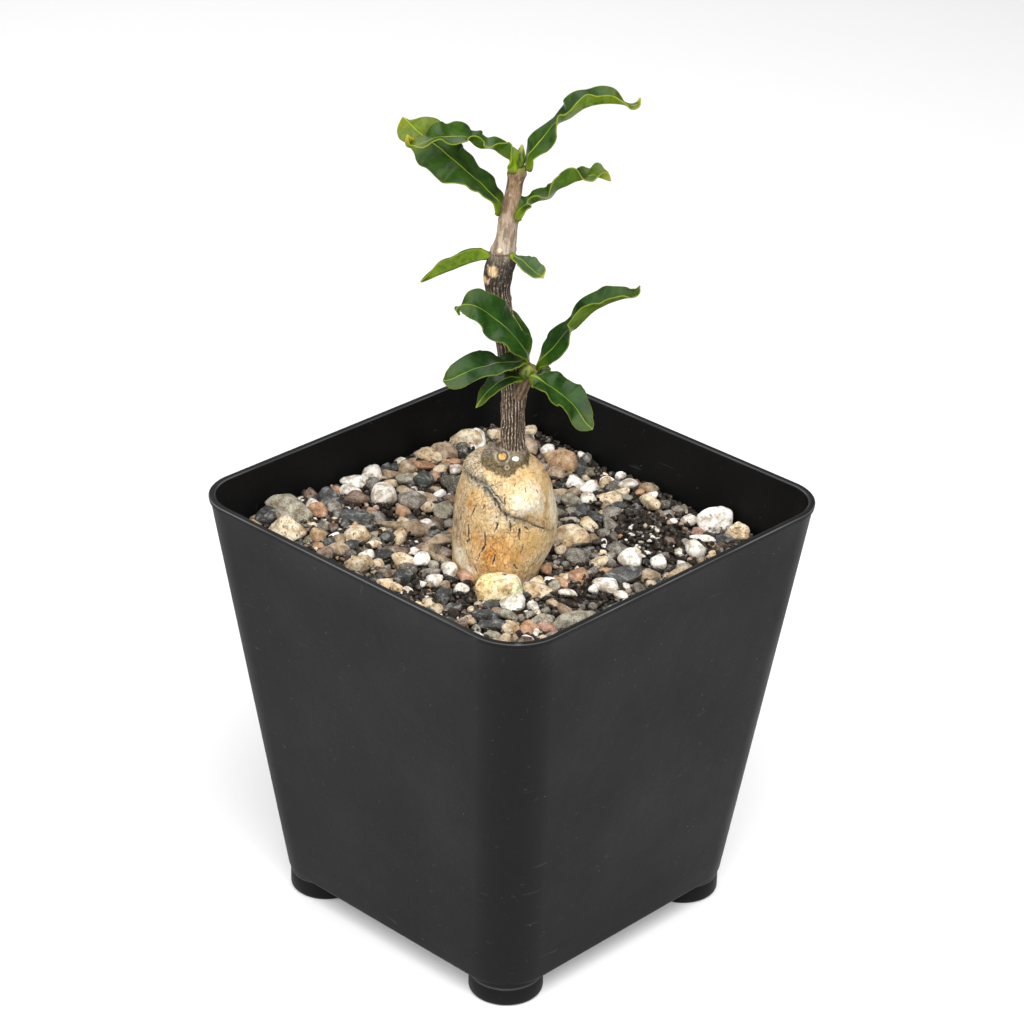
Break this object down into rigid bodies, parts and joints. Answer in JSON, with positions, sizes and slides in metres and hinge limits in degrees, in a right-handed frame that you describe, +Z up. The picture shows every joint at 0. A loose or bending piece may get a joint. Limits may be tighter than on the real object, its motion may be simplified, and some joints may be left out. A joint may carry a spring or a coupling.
{
  "type": "potted fockea crispa",
  "caption": "Young caudex succulent with a swollen pale base, a woody stem and waved leaves, growing in gritty soil in a square pot on small feet.",
  "frame": {"origin": "on the ground under the middle of the pot", "axes": "+Z up; X and Y along the pot's sides; the leaves spread mainly along the diagonal from -X -Y to +X +Y"},
  "size_m": [0.1, 0.1, 0.1977],
  "materials": {
    "pot_plastic": "satin",
    "grit_soil": "matte",
    "caudex_skin": "matte",
    "bark": "matte",
    "leaf": "satin",
    "bud": "satin",
    "stone_cream": "matte",
    "stone_grey": "matte",
    "stone_brown": "matte"
  },
  "bodies": {
    "root": {"pot": "pot_plastic", "soil_mix": "grit_soil", "caudex": "caudex_skin", "stem": "bark", "apical_bud": "bud", "shoot_bud": "bud", "leaf_a": "leaf", "leaf_b": "leaf", "leaf_c": "leaf", "leaf_d": "leaf", "leaf_e": "leaf", "leaf_f": "leaf", "leaf_g": "leaf", "leaf_h": "leaf", "leaf_i": "leaf", "leaf_j": "leaf", "leaf_k": "leaf", "leaf_l": "leaf", "leaf_m": "leaf", "stone_front": "stone_cream", "stone_grey_left": "stone_grey", "stone_pale_left": "stone_cream", "stone_pale_right": "stone_cream", "stone_speckled": "stone_grey", "stone_brown_back": "stone_brown", "stone_cream_right": "stone_cream", "stone_pale_wall": "stone_cream"}
  },
  "joints": []
}
